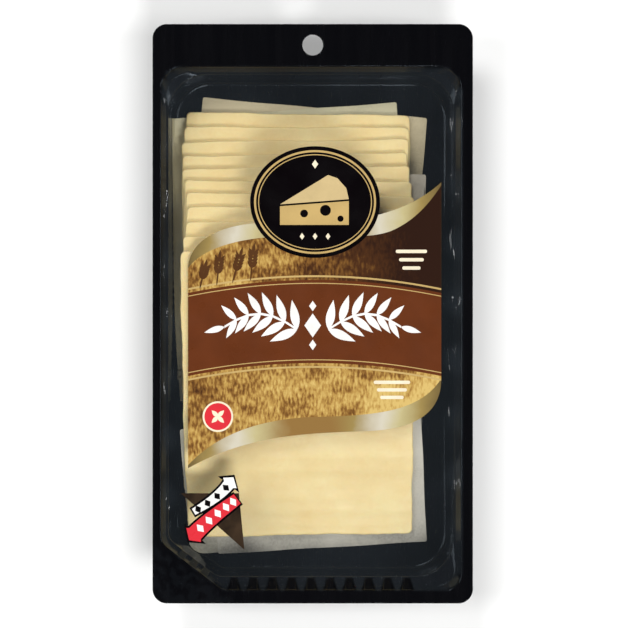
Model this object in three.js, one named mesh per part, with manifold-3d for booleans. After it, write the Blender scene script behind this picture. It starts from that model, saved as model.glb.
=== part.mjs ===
// A hang pack of sliced cheese: a black formed tray, loose paper sheets, a fanned pile of slices,
// a clear peel film sealed to the tray's flange, a printed label and a corner opening mark.
// Millimetres. X is the width, Y the length with the hang hole at +Y, Z runs up from the tray's floor.

import * as THREE from "three";
import { mergeVertices } from "three/addons/utils/BufferGeometryUtils.js";
import Module from "manifold-3d";

// The pack's outline
const PACK_W = 123.4;
const PACK_L = 223.2;
const PACK_CORNER_R = 5.5;
const PACK_H = 24;
const HANG_HOLE_D = 8;
const HANG_HOLE_FROM_END = 8.1;

// The tray's sheet, and the flange left around the cavity
const GAUGE = 0.6;
const FLANGE_T = 0.8;
const RIM_LEFT = 3.5;
const RIM_RIGHT = 4.8;
const RIM_FOOT = 5.3;
const TAB_L = 16.6;
const CHAMFER_W = 23.5;
const CHAMFER_L = 18;

// The tray's wall, from its mouth down over the ledge to the floor
const MOUTH_R = 0.8;
const MOUTH_CORNER_R = 8.5;
const INNER_CORNER_R = 15;
const FOOT_CORNER_R = 6.5;
const CHAMFER_CORNER_R = 6;
const LEDGE_DEPTH = 4;
const LEDGE_DROP = 0.5;
const LEDGE_W = 0.7;
const MOUTH_SLOPE_SIDE = 1.6;
const MOUTH_SLOPE_FOOT = 4.3;
const WALL_DRAFT = 0.9;
const FLOOR_FILLET_R = 2.5;
const FOOT_RIBS = { count: 10, pitch: 7.4, rise: 3.4, x: 3, y: -106 };
const CHAMFER_RIBS = { count: 3, pitch: 5.6, rise: 1.4, x: -46.5, y: -97.3 };
const RIB_W = 2.6;
const RIB_FLANK_W = 0.7;

// The slices
const SLICE_COUNT = 11;
const SLICE_W = 88.5;
const SLICE_L = 112;
const SLICE_T = 1.85;
const SLICE_GAP = 0.08;
const SLICE_CORNER_R = 1.8;
const SLICE_PITCH = 5.4;
const PILE_TOP_Y = 78.8;
const PILE_X = -6.6;
const PILE_LEAN = 0.15;
const FRONT_SLICE_SHIFT = -0.75;
const SLICE_TILT_DEG = 1;
const TILT_PERIOD = 7.2;
const TILT_START = 1.2;
const DROOP_RUN = 9;
const STATION_STEP = 2.7;

// The paper sheets, each with the number of slices below it
const PAPER_T = 0.12;
const PAPER_GAP = 0.1;
const PAPER_CORNER_R = 0.8;
const PAPER_CLEARANCE = 2.2;
const PAPER_SHEETS = [
  { slicesBelow: 0, width: 89, length: 112, x: -4.2, y: 25.7, turn: -5.3 },
  { slicesBelow: 0, width: 94, length: 112, x: -9.7, y: 24.3, turn: 4.2 },
  { slicesBelow: 4, width: 82.5, length: 112, x: 2.4, y: -0.7, turn: -0.9 },
  { slicesBelow: 5, width: 82.5, length: 112, x: 1.6, y: -5.4, turn: -0.6 },
  { slicesBelow: 10, width: 82.5, length: 50, x: -8.8, y: -67.3, turn: 3.6 },
  { slicesBelow: 10, width: 82.5, length: 112, x: 0.5, y: -36.4, turn: 3.4 },
];

// The film, the label and the opening mark
const FILM_T = 0.25;
const FILM_GAP = 0.15;
const PRINT_T = 0.15;
const PRINT_GAP = 0.1;
const LABEL_LEFT = -48;
const LABEL_RIGHT = 49.5;
const MEDALLION_X = 0.9;
const MEDALLION_Y = 43;
const MEDALLION_W = 50;
const MEDALLION_L = 43;
const ARROW_HEAD_L = 4.2;
const OUT_ARROW = {
  tailW: 4.2,
  neckW: 6,
  headW: 10.4,
  path: [-46.4, -76.6, -41.3, -73.6, -33.2, -69, -30.1, -62],
};
const BACK_ARROW = {
  tailW: 6,
  neckW: 7.8,
  headW: 11.6,
  path: [-28.7, -71, -32.4, -73.8, -43, -81, -48.2, -88],
};

const FILM_Z = PACK_H + FILM_GAP;
const PRINT_Z = FILM_Z + FILM_T + PRINT_GAP;
const ARC_STEPS = 6;

const wasm = await Module();
wasm.setup();
const pack = new THREE.Group();

function addPart(name, geometry, colour, roughness, metalness = 0) {
  const material = new THREE.MeshStandardMaterial({ color: colour, roughness, metalness });
  const mesh = new THREE.Mesh(geometry, material);
  mesh.name = name;
  pack.add(mesh);
  return mesh;
}

// Joining and cutting of closed solids

function toSolid(geometry) {
  const bare = geometry.clone();
  bare.deleteAttribute("normal");
  bare.deleteAttribute("uv");
  const merged = mergeVertices(bare, 1e-5);
  return new wasm.Manifold(
    new wasm.Mesh({
      numProp: 3,
      vertProperties: new Float32Array(merged.attributes.position.array),
      triVerts: new Uint32Array(merged.index.array),
    })
  );
}

function toGeometry(solid) {
  const mesh = solid.getMesh();
  const geometry = new THREE.BufferGeometry();
  geometry.setAttribute("position", new THREE.BufferAttribute(mesh.vertProperties, 3));
  geometry.setIndex(new THREE.BufferAttribute(mesh.triVerts, 1));
  geometry.computeVertexNormals();
  return geometry;
}

function toIndexed(points, triangles) {
  const geometry = new THREE.BufferGeometry();
  geometry.setAttribute("position", new THREE.Float32BufferAttribute(points.flat(), 3));
  geometry.setIndex(triangles.flat());
  geometry.computeVertexNormals();
  return geometry;
}

// A loop of corners, each rounded by its own radius, counter-clockwise. The straight edge that follows
// a corner gets the points that its entry in edgePoints makes between the edge's two ends.

function roundedLoop(corners, radii, edgePoints = []) {
  const loop = [];
  const arcs = corners.map((corner, i) => {
    const before = corners[(i + corners.length - 1) % corners.length];
    const after = corners[(i + 1) % corners.length];
    const inward = new THREE.Vector2().subVectors(before, corner).normalize();
    const onward = new THREE.Vector2().subVectors(after, corner).normalize();
    const half = Math.acos(inward.dot(onward)) / 2;
    const reach = radii[i] / Math.tan(half);
    const middle = inward.clone().add(onward).normalize();
    const centre = corner.clone().addScaledVector(middle, radii[i] / Math.sin(half));
    const start = corner.clone().addScaledVector(inward, reach);
    const end = corner.clone().addScaledVector(onward, reach);
    return { centre, start, end };
  });
  arcs.forEach((arc, i) => {
    const from = Math.atan2(arc.start.y - arc.centre.y, arc.start.x - arc.centre.x);
    let to = Math.atan2(arc.end.y - arc.centre.y, arc.end.x - arc.centre.x);
    if (to < from) {
      to += 2 * Math.PI;
    }
    for (let step = 0; step <= ARC_STEPS; step++) {
      const angle = from + ((to - from) * step) / ARC_STEPS;
      const x = arc.centre.x + radii[i] * Math.cos(angle);
      const y = arc.centre.y + radii[i] * Math.sin(angle);
      loop.push(new THREE.Vector2(x, y));
    }
    if (edgePoints[i]) {
      loop.push(...edgePoints[i](arc.end, arcs[(i + 1) % arcs.length].start));
    }
  });
  return loop;
}

function roundedRectangle(width, length, radius) {
  const corners = [
    new THREE.Vector2(width / 2, -length / 2),
    new THREE.Vector2(width / 2, length / 2),
    new THREE.Vector2(-width / 2, length / 2),
    new THREE.Vector2(-width / 2, -length / 2),
  ];
  return roundedLoop(corners, [radius, radius, radius, radius]);
}

// A closed solid through rings of equal point count, lowest ring first

function loft(rings) {
  const count = rings[0].loop.length;
  const points = rings.flatMap(({ loop, z }) => loop.map((p) => [p.x, p.y, z]));
  const triangles = [];
  for (let level = 0; level < rings.length - 1; level++) {
    for (let i = 0; i < count; i++) {
      const a = level * count + i;
      const b = level * count + ((i + 1) % count);
      triangles.push([a, b, b + count], [a, b + count, a + count]);
    }
  }
  const last = (rings.length - 1) * count;
  for (const [a, b, c] of THREE.ShapeUtils.triangulateShape(rings[0].loop, [])) {
    triangles.push([a, c, b]);
  }
  for (const [a, b, c] of THREE.ShapeUtils.triangulateShape(rings[rings.length - 1].loop, [])) {
    triangles.push([last + a, last + b, last + c]);
  }
  return toIndexed(points, triangles);
}

// A flat plate between two heights

function plate(outline, bottom, thickness, holes = []) {
  const shape = new THREE.Shape(outline);
  shape.holes = holes.map((hole) => new THREE.Path(hole));
  const geometry = new THREE.ExtrudeGeometry(shape, { depth: thickness, bevelEnabled: false });
  geometry.translate(0, 0, bottom);
  return geometry;
}

// The tray. Its cavity has rounded corners, a chamfered lower left corner where the film is peeled
// from, and a fluted slope above the ledge along the foot and the chamfer.

// The ribs of one edge stand at even steps about a fixed point beside it. A ring without ribs keeps
// their points, so that all rings match. The lower face of the sheet has narrower ribs than the upper
// one, so that the flanks keep their thickness.

function ribPoints({ count, pitch, rise, x, y }, isRibbed, skin) {
  return (start, end) => {
    const along = new THREE.Vector2().subVectors(end, start).normalize();
    const side = new THREE.Vector2(-along.y, along.x);
    const middle = new THREE.Vector2(x, y).sub(start).dot(along);
    const halfTop = RIB_W / 2 - skin;
    const halfBase = halfTop + RIB_FLANK_W;
    const points = [];
    const addPoint = (reach, lift) => {
      const point = start.clone().addScaledVector(along, reach);
      points.push(point.addScaledVector(side, isRibbed ? lift : 0));
    };
    for (let rib = 0; rib < count; rib++) {
      const centre = middle + (rib - (count - 1) / 2) * pitch;
      addPoint(centre - halfBase, 0);
      addPoint(centre - halfTop, rise);
      addPoint(centre + halfTop, rise);
      addPoint(centre + halfBase, 0);
    }
    return points;
  };
}

// The cavity's outline at one height, given how far it stands in from the mouth at the sides, the foot
// and the chamfer

function cavityLoop({ side, foot, chamfer = side, cornerR, footR = cornerR, isRibbed = false, skin = 0 }) {
  const left = -PACK_W / 2 + RIM_LEFT;
  const low = -PACK_L / 2 + RIM_FOOT;
  const right = PACK_W / 2 - RIM_RIGHT - side;
  const high = PACK_L / 2 - TAB_L - side;
  const chamferLength = Math.hypot(CHAMFER_W, CHAMFER_L);
  const nx = CHAMFER_L / chamferLength;
  const ny = CHAMFER_W / chamferLength;
  const chamferHigh = low + CHAMFER_L + (chamfer - side * nx) / ny;
  const chamferRight = left + (chamfer - (foot - CHAMFER_L) * ny) / nx;
  const corners = [
    new THREE.Vector2(right, low + foot),
    new THREE.Vector2(right, high),
    new THREE.Vector2(left + side, high),
    new THREE.Vector2(left + side, chamferHigh),
    new THREE.Vector2(chamferRight, low + foot),
  ];
  const radii = [footR, cornerR, cornerR, CHAMFER_CORNER_R, CHAMFER_CORNER_R];
  const edges = [];
  edges[3] = ribPoints(CHAMFER_RIBS, isRibbed, skin);
  edges[4] = ribPoints(FOOT_RIBS, isRibbed, skin);
  return roundedLoop(corners, radii, edges);
}

// The rings of one face of the tray's sheet: the upper face at skin 0, the lower face a gauge further out

function wallRings(skin) {
  const ledgeZ = PACK_H - LEDGE_DEPTH;
  const filletR = FLOOR_FILLET_R + skin;
  const lowSide = MOUTH_SLOPE_SIDE + LEDGE_W + WALL_DRAFT - skin;
  const lowFoot = MOUTH_SLOPE_FOOT + LEDGE_W / 2 + WALL_DRAFT / 2 - skin;
  const floorZ = GAUGE - skin;
  const rings = [];
  for (const turn of [90, 60, 30, 0]) {
    const angle = THREE.MathUtils.degToRad(turn);
    const inset = filletR * (1 - Math.cos(angle));
    const z = floorZ + filletR * (1 - Math.sin(angle));
    const cornerR = INNER_CORNER_R - inset;
    const loop = cavityLoop({ side: lowSide + inset, foot: lowFoot + inset, cornerR });
    rings.push({ loop, z });
  }
  const shelfSide = MOUTH_SLOPE_SIDE + LEDGE_W - skin;
  const shelfFoot = MOUTH_SLOPE_FOOT + LEDGE_W / 2 - skin;
  rings.push({
    loop: cavityLoop({ side: shelfSide, foot: shelfFoot, cornerR: INNER_CORNER_R }),
    z: ledgeZ - LEDGE_DROP - skin,
  });
  rings.push({
    loop: cavityLoop({
      side: MOUTH_SLOPE_SIDE - skin,
      foot: MOUTH_SLOPE_FOOT - FOOT_RIBS.rise - skin,
      chamfer: MOUTH_SLOPE_SIDE + LEDGE_W - CHAMFER_RIBS.rise - skin,
      cornerR: MOUTH_CORNER_R + 1,
      footR: FOOT_CORNER_R + 1,
      isRibbed: true,
      skin,
    }),
    z: ledgeZ - skin,
  });
  return rings;
}

function mouthLoop(inset) {
  return cavityLoop({ side: inset, foot: inset, cornerR: MOUTH_CORNER_R, footR: FOOT_CORNER_R });
}

function mouthRings() {
  const rings = [];
  for (const turn of [0, 30, 60, 90]) {
    const angle = THREE.MathUtils.degToRad(turn);
    const inset = -MOUTH_R * (1 - Math.cos(angle));
    const loop = mouthLoop(inset);
    rings.push({ loop, z: PACK_H - MOUTH_R + MOUTH_R * Math.sin(angle) });
  }
  const above = { loop: rings[rings.length - 1].loop, z: PACK_H + 1 };
  return [...rings, above];
}

function circle(x, y, radius, steps) {
  const points = [];
  for (let i = 0; i < steps; i++) {
    const angle = (2 * Math.PI * i) / steps;
    points.push(new THREE.Vector2(x + radius * Math.cos(angle), y + radius * Math.sin(angle)));
  }
  return points;
}

const hangHole = circle(0, PACK_L / 2 - HANG_HOLE_FROM_END, HANG_HOLE_D / 2, 32);
const packOutline = roundedRectangle(PACK_W, PACK_L, PACK_CORNER_R);

function trayGeometry() {
  const flange = toSolid(plate(packOutline, PACK_H - FLANGE_T, FLANGE_T, [hangHole]));
  const neck = { loop: mouthLoop(-GAUGE), z: PACK_H - FLANGE_T / 2 };
  const outer = toSolid(loft([...wallRings(GAUGE), neck]));
  const inner = toSolid(loft([...wallRings(0), ...mouthRings()]));
  return toGeometry(flange.add(outer).subtract(inner));
}

addPart("tray", trayGeometry(), 0x0d0e11, 0.25);

// The film lies on the flange and spans the cavity

addPart("lid_film", plate(packOutline, FILM_Z, FILM_T, [hangHole]), 0xd8dde0, 0.08);

// A thin layer of even thickness over a height that changes along Y only. It is split at the stations,
// which all layers share, so that layers lying on each other keep an even gap.

function layer(outline, stations, heightAt, thickness) {
  const ring = [];
  outline.forEach((p, i) => {
    const q = outline[(i + 1) % outline.length];
    ring.push(p);
    const crossed = stations.filter((y) => (p.y - y) * (q.y - y) < -1e-9);
    crossed.sort((a, b) => (q.y > p.y ? a - b : b - a));
    for (const y of crossed) {
      ring.push(new THREE.Vector2(p.x + ((q.x - p.x) * (y - p.y)) / (q.y - p.y), y));
    }
  });
  const count = ring.length;
  const low = ring.map((p) => [p.x, p.y, heightAt(p.y)]);
  const high = ring.map((p) => [p.x, p.y, heightAt(p.y) + thickness]);
  const triangles = [];
  for (let strip = 0; strip < stations.length - 1; strip++) {
    const inside = [];
    ring.forEach((p, i) => {
      if (p.y >= stations[strip] - 1e-9 && p.y <= stations[strip + 1] + 1e-9) {
        inside.push(i);
      }
    });
    for (let i = 1; i < inside.length - 1; i++) {
      const [a, b, c] = [inside[0], inside[i], inside[i + 1]];
      triangles.push([count + a, count + b, count + c], [a, c, b]);
    }
  }
  for (let i = 0; i < count; i++) {
    const next = (i + 1) % count;
    triangles.push([i, next, count + next], [i, count + next, count + i]);
  }
  return toIndexed([...low, ...high], triangles);
}

function turned(outline, degrees, x, y) {
  const angle = THREE.MathUtils.degToRad(degrees);
  const origin = new THREE.Vector2(0, 0);
  const shift = new THREE.Vector2(x, y);
  return outline.map((p) => p.clone().rotateAround(origin, angle).add(shift));
}

function lowestY(outline) {
  return Math.min(...outline.map((p) => p.y));
}

// The pile, from the floor up. Each slice lies a pitch further down than the one below it, the
// paper sheets lie between them, and everything droops over the lower ends of what is below it.

function sliceLayer(k) {
  const tilt = SLICE_TILT_DEG * Math.sin((2 * Math.PI * (k - TILT_START)) / TILT_PERIOD);
  const isFront = k === SLICE_COUNT - 1;
  const x = PILE_X + PILE_LEAN * k + (isFront ? FRONT_SLICE_SHIFT : 0);
  const y = PILE_TOP_Y - SLICE_PITCH * k - SLICE_L / 2;
  const outline = turned(roundedRectangle(SLICE_W, SLICE_L, SLICE_CORNER_R), tilt, x, y);
  const name = `slice_${String(k + 1).padStart(2, "0")}`;
  return { name, outline, footY: lowestY(outline), thickness: SLICE_T, gap: SLICE_GAP };
}

function paperLayer({ width, length, x, y, turn }, i) {
  const outline = turned(roundedRectangle(width, length, PAPER_CORNER_R), turn, x, y);
  const name = `paper_sheet_${i + 1}`;
  return { name, outline, footY: lowestY(outline), thickness: PAPER_T, gap: PAPER_GAP, isPaper: true };
}

const pile = [];
for (let k = 0; k < SLICE_COUNT; k++) {
  PAPER_SHEETS.forEach((sheet, i) => {
    if (sheet.slicesBelow === k) {
      pile.push(paperLayer(sheet, i));
    }
  });
  pile.push(sliceLayer(k));
}

const stations = [];
const highestFoot = Math.max(...pile.map((item) => item.footY));
for (let y = -PACK_L / 2; y < highestFoot + STATION_STEP; y += STATION_STEP) {
  stations.push(y);
}
stations.push(PACK_L / 2);

function support(item, y) {
  return 1 - THREE.MathUtils.smoothstep((item.footY - y) / DROOP_RUN, 0, 1);
}

// Between two stations the height runs in a straight line, as it does in the solids

function pileHeight(below) {
  const atStations = stations.map((y) => {
    const rise = below.reduce((sum, item) => sum + (item.thickness + item.gap) * support(item, y), 0);
    return GAUGE + PAPER_GAP + rise;
  });
  return (y) => {
    const i = Math.max(1, stations.findIndex((station) => station >= y));
    const share = (y - stations[i - 1]) / (stations[i] - stations[i - 1]);
    return THREE.MathUtils.lerp(atStations[i - 1], atStations[i], share);
  };
}

// A sheet that would reach the tray's wall ends where the floor starts to curve up

function floorArea(clearance) {
  const side = MOUTH_SLOPE_SIDE + LEDGE_W + WALL_DRAFT + clearance;
  const foot = MOUTH_SLOPE_FOOT + LEDGE_W / 2 + WALL_DRAFT / 2 + clearance;
  return toSolid(plate(cavityLoop({ side, foot, cornerR: INNER_CORNER_R - clearance }), 0, PACK_H));
}

pile.forEach((item, i) => {
  const geometry = layer(item.outline, stations, pileHeight(pile.slice(0, i)), item.thickness);
  if (item.isPaper) {
    addPart(item.name, toGeometry(toSolid(geometry).intersect(floorArea(PAPER_CLEARANCE))), 0xd8d8cc, 0.7);
  } else {
    addPart(item.name, geometry, 0xf0dc9c, 0.45);
  }
});

// The label: a panel with curved upper and lower edges, and an oval medallion over its upper edge

function labelPanel() {
  const shape = new THREE.Shape();
  shape.moveTo(LABEL_LEFT, -59.5);
  shape.bezierCurveTo(-25, -46.5, -2, -46, 20, -45.2);
  shape.bezierCurveTo(40, -44.6, LABEL_RIGHT, -38, LABEL_RIGHT, -25);
  shape.lineTo(LABEL_RIGHT, 50.6);
  shape.bezierCurveTo(33, 35.5, 8, 34, -20, 35);
  shape.bezierCurveTo(-38, 34, LABEL_LEFT, 27, LABEL_LEFT, 17);
  return shape;
}

function labelGeometry() {
  const settings = { depth: PRINT_T, bevelEnabled: false, curveSegments: 14 };
  const panel = new THREE.ExtrudeGeometry(labelPanel(), settings);
  const medallion = new THREE.CylinderGeometry(0.5, 0.5, PRINT_T, 48);
  medallion.rotateX(Math.PI / 2);
  medallion.scale(MEDALLION_W, MEDALLION_L, 1);
  medallion.translate(MEDALLION_X, MEDALLION_Y, PRINT_T / 2);
  const geometry = toGeometry(toSolid(panel).add(toSolid(medallion)));
  geometry.translate(0, 0, PRINT_Z);
  return geometry;
}

addPart("label", labelGeometry(), 0x6b3a26, 0.4);

// The opening mark: a dark corner triangle with two bent arrows over it. An arrow's path is the X and Y
// of its tail, of the two points that bend it and of its tip.

function bentArrow({ tailW, neckW, headW, path }) {
  const ends = [0, 2, 4, 6].map((i) => new THREE.Vector2(path[i], path[i + 1]));
  const curve = new THREE.CubicBezierCurve(...ends);
  const headShare = 1 - ARROW_HEAD_L / curve.getLength();
  const left = [];
  const right = [];
  for (let step = 0; step <= ARC_STEPS; step++) {
    const share = (headShare * step) / ARC_STEPS;
    const at = curve.getPoint(share);
    const tangent = curve.getTangent(share);
    const across = new THREE.Vector2(-tangent.y, tangent.x);
    const half = THREE.MathUtils.lerp(tailW, neckW, step / ARC_STEPS) / 2;
    left.push(at.clone().addScaledVector(across, half));
    right.push(at.clone().addScaledVector(across, -half));
    if (step === ARC_STEPS) {
      left.push(at.clone().addScaledVector(across, headW / 2));
      right.push(at.clone().addScaledVector(across, -headW / 2));
    }
  }
  return [...right, curve.v3, ...left.reverse()];
}

function openingMarkGeometry() {
  const triangle = [
    new THREE.Vector2(-50.8, -69.1),
    new THREE.Vector2(-26.3, -90.9),
    new THREE.Vector2(-28.4, -69.1),
  ];
  const outlines = [triangle, bentArrow(OUT_ARROW), bentArrow(BACK_ARROW)];
  const shapes = outlines.map((outline) => toSolid(plate(outline, PRINT_Z, PRINT_T)));
  return toGeometry(shapes[0].add(shapes[1]).add(shapes[2]));
}

addPart("opening_mark", openingMarkGeometry(), 0x3a2018, 0.4);

export default pack;
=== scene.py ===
import math

import bpy
import numpy as np
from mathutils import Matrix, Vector
from mathutils.geometry import delaunay_2d_cdt, tessellate_polygon


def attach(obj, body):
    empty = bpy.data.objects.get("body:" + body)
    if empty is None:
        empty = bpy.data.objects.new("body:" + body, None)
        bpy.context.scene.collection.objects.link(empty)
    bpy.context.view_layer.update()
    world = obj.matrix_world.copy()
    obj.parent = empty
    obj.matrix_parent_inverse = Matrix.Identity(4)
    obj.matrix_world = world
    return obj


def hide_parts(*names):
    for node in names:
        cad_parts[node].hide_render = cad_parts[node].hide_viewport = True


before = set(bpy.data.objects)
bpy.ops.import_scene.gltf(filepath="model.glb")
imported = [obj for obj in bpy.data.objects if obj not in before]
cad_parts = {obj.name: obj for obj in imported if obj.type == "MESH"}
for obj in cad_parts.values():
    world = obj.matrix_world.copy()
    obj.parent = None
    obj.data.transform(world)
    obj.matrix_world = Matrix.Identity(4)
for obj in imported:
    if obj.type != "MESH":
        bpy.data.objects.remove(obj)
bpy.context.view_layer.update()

# The studio floor is a pale paper sweep: a wide disc whose rim curves up far away, so that a low view
# meets no edge. It is no part of the pack. Lengths here and below are in millimetres.
MM = 0.001
FLOOR_Z = -0.2
FLOOR_FLAT_R = 2400
SWEEP_R = 1500
SWEEP_STEPS = 12
FLOOR_SEGMENTS = 72


class Skin:
    """The points, in millimetres, and the faces of one piece, gathered loop by loop."""

    def __init__(self):
        self.points = []
        self.faces = []

    def add_loop(self, loop, height):
        """Adds a loop of XY points at one height, or at a height each, and returns their numbers."""
        start = len(self.points)
        heights = np.broadcast_to(height, len(loop))
        self.points += [(x, y, z) for (x, y), z in zip(loop, heights)]
        return list(range(start, len(self.points)))

    def bridge(self, loop, last):
        """Joins a loop to the one before it by four-sided faces."""
        count = len(loop)
        for i in range(count):
            j = (i + 1) % count
            self.faces.append((loop[i], loop[j], last[j], last[i]))

    def fill(self, outline, holes=(), is_up=True):
        """Closes a flat outline and leaves its holes open."""
        loops = [outline, *holes]
        numbers = [number for loop in loops for number in loop]
        flat = [[Vector(self.points[number]) for number in loop] for loop in loops]
        for triangle in tessellate_polygon(flat):
            corners = [numbers[corner] for corner in triangle]
            a, b, c = (Vector(self.points[number]) for number in corners)
            faces_up = (b - a).cross(c - a).z > 0
            self.faces.append(corners if faces_up == is_up else corners[::-1])

    def make(self, name, material, sharp_from=35):
        """Makes the object. Faces that meet at a sharper angle keep their edge."""
        mesh = bpy.data.meshes.new(name)
        mesh.from_pydata([tuple(MM * value for value in point) for point in self.points], [], self.faces)
        mesh.materials.append(material)
        mesh.shade_smooth()
        mesh.set_sharp_from_angle(angle=math.radians(sharp_from))
        piece = bpy.data.objects.new(name, mesh)
        bpy.context.collection.objects.link(piece)
        return piece


def colour(red, green, blue):
    """The light that a display colour of 0 to 255 stands for."""
    shares = [value / 255 for value in (red, green, blue)]
    return [*(s / 12.92 if s < 0.04045 else ((s + 0.055) / 1.055) ** 2.4 for s in shares), 1]


def start_finish(name, **inputs):
    """A material with one Principled shader. Returns the material, its node tree and the shader."""
    material = bpy.data.materials.new(name)
    material.use_nodes = True
    shader = material.node_tree.nodes["Principled BSDF"]
    for label, value in inputs.items():
        shader.inputs[label.replace("_", " ")].default_value = value
    return material, material.node_tree, shader


def add_node(tree, kind, inputs, **settings):
    """Adds a node, with a number or another node's output for its inputs, and with its settings."""
    node = tree.nodes.new(kind)
    for key, value in settings.items():
        setattr(node, key, value)
    for socket, value in inputs.items():
        if isinstance(value, bpy.types.NodeSocket):
            tree.links.new(value, node.inputs[socket])
        else:
            node.inputs[socket].default_value = value
    return node.outputs[0]


def noise(tree, size, stretch=(1, 1, 1), detail=3):
    """Mottling from 0 to 1 whose spots are about size millimetres across, times stretch."""
    place = tree.nodes.new("ShaderNodeTexCoord").outputs["Object"]
    scale = [1 / (MM * size * value) for value in stretch]
    mapped = add_node(tree, "ShaderNodeMapping", {"Vector": place, "Scale": scale})
    return add_node(tree, "ShaderNodeTexNoise", {"Vector": mapped, "Scale": 1, "Detail": detail})


def paint(tree, shader, share, stops):
    """Colours a shader by a share from 0 to 1, between stops of (share, colour)."""
    node = tree.nodes.new("ShaderNodeValToRGB")
    elements = node.color_ramp.elements
    first, *others, last = stops
    for element, (position, shade) in zip(elements, (first, last)):
        element.position = position
        element.color = shade
    for position, shade in others:
        elements.new(position).color = shade
    tree.links.new(share, node.inputs[0])
    tree.links.new(node.outputs[0], shader.inputs["Base Color"])


def spread(tree, share, low, high, start=0.3, end=0.7):
    """Spreads the usual range of a noise over the numbers from low to high."""
    inputs = {0: share, 1: start, 2: end, 3: low, 4: high}
    return add_node(tree, "ShaderNodeMapRange", inputs)


def combine(tree, operation, *values):
    """Sums, products and powers of numbers and of other nodes' outputs."""
    return add_node(tree, "ShaderNodeMath", dict(enumerate(values)), operation=operation)


def bump(tree, shader, height, depth):
    """Raises a shader's surface by the share in height of a depth in millimetres."""
    normal = add_node(tree, "ShaderNodeBump", {"Height": height, "Distance": depth * MM})
    tree.links.new(normal, shader.inputs["Normal"])


def circle(centre_x, centre_y, radius, steps=48):
    angles = np.arange(steps) * 2 * math.pi / steps
    return np.stack([centre_x + radius * np.cos(angles), centre_y + radius * np.sin(angles)], axis=1)


floor_skin = Skin()
floor_loop = floor_skin.add_loop(circle(0, 0, FLOOR_FLAT_R / 8, FLOOR_SEGMENTS), FLOOR_Z)
floor_skin.fill(floor_loop)
for step in range(SWEEP_STEPS + 1):
    turn = math.radians(90 * step / SWEEP_STEPS)
    radius = FLOOR_FLAT_R + SWEEP_R * math.sin(turn)
    height = FLOOR_Z + SWEEP_R * (1 - math.cos(turn))
    next_loop = floor_skin.add_loop(circle(0, 0, radius, FLOOR_SEGMENTS), height)
    floor_skin.bridge(next_loop, floor_loop)
    floor_loop = next_loop

sweep_finish, tree, shader = start_finish("sweep_paper", Roughness=0.9)
paint(tree, shader, noise(tree, 90), [(0.2, colour(249, 249, 248)), (0.8, colour(252, 252, 251))])
floor = floor_skin.make("floor_sweep", sweep_finish)

# The lights are soft panels all round, and the ceiling over the pack stays dim, because the clear film
# mirrors it. The panels beyond the foot and the head are the strongest. The camera looks straight down.
SCENE = bpy.context.scene
CAMERA_X = 0.5
CAMERA_Y = -0.1
CAMERA_HEIGHT = 924.4
VIEW_WIDTH = 241.8
SENSOR_W = 36
FILM_LEVEL = 24.4


def add_panel(name, power, width, height, place):
    """An area light of power watts that faces the pack."""
    light = bpy.data.lights.new(name, "AREA")
    light.energy = power
    light.shape = "RECTANGLE"
    light.size = width * MM
    light.size_y = height * MM
    lamp = bpy.data.objects.new(name, light)
    lamp.location = Vector(place) * MM
    lamp.rotation_euler = lamp.location.to_track_quat("Z", "Y").to_euler()
    bpy.context.collection.objects.link(lamp)


add_panel("foot_panel", 14.5, 700, 450, (350, -900, 1250))
add_panel("head_panel", 10.5, 600, 450, (-420, 900, 1250))
add_panel("left_panel", 8.5, 500, 900, (-1050, 50, 1150))
add_panel("right_panel", 7.5, 500, 900, (1050, -50, 1100))

world = bpy.data.worlds.new("dim_room")
world.use_nodes = True
world.node_tree.nodes["Background"].inputs["Color"].default_value = (0.02, 0.021, 0.023, 1)
SCENE.world = world
SCENE.view_settings.view_transform = "Standard"

camera_data = bpy.data.cameras.new("camera")
camera_data.sensor_width = SENSOR_W
camera_data.lens = SENSOR_W * (CAMERA_HEIGHT - FILM_LEVEL) / VIEW_WIDTH
camera = bpy.data.objects.new("camera", camera_data)
camera.location = Vector((CAMERA_X, CAMERA_Y, CAMERA_HEIGHT)) * MM
bpy.context.collection.objects.link(camera)
SCENE.camera = camera

# The tray is one sheet of black plastic drawn over a mould by heat: a flat flange with a hang tab, and a
# cavity with a ledge under its mouth, ribs along the foot, and a cut corner where the film is peeled from.
PACK_W = 123.4
PACK_L = 223.2
PACK_H = 24
PACK_CORNER_R = 5.5
HANG_HOLE_R = 4
HANG_HOLE_Y = 103.5
GAUGE = 0.6
FLANGE_T = 0.8
EDGE_R = 0.22
RIM_LEFT = 3.5
RIM_RIGHT = 4.8
RIM_FOOT = 5.3
TAB_L = 16.6
CHAMFER_W = 23.5
CHAMFER_L = 18
MOUTH_R = 0.8
MOUTH_CORNER_R = 8.5
INNER_CORNER_R = 15
FOOT_CORNER_R = 6.5
CHAMFER_CORNER_R = 6
LEDGE_Z = 20
LEDGE_DROP = 0.5
LEDGE_W = 0.7
MOUTH_SLOPE_SIDE = 1.6
MOUTH_SLOPE_FOOT = 4.3
WALL_DRAFT = 0.9
FLOOR_FILLET_R = 2.5
RIB_W = 2.6
RIB_FLANK_W = 0.7
CHAMFER_EDGE = 3
FOOT_EDGE = 4
EDGE_STEPS = (50, 34, 46, 50, 200)
RIBS = {
    CHAMFER_EDGE: {"count": 3, "pitch": 5.6, "rise": 1.4, "at": Vector((-46.5, -97.3)), "reach": 8},
    FOOT_EDGE: {"count": 10, "pitch": 7.4, "rise": 3.4, "at": Vector((3, -106)), "reach": 35.5},
}


def smooth(share):
    """Eases from 0 to 1 as share goes from 0 to 1."""
    share = np.clip(share, 0, 1)
    return share * share * (3 - 2 * share)


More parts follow.
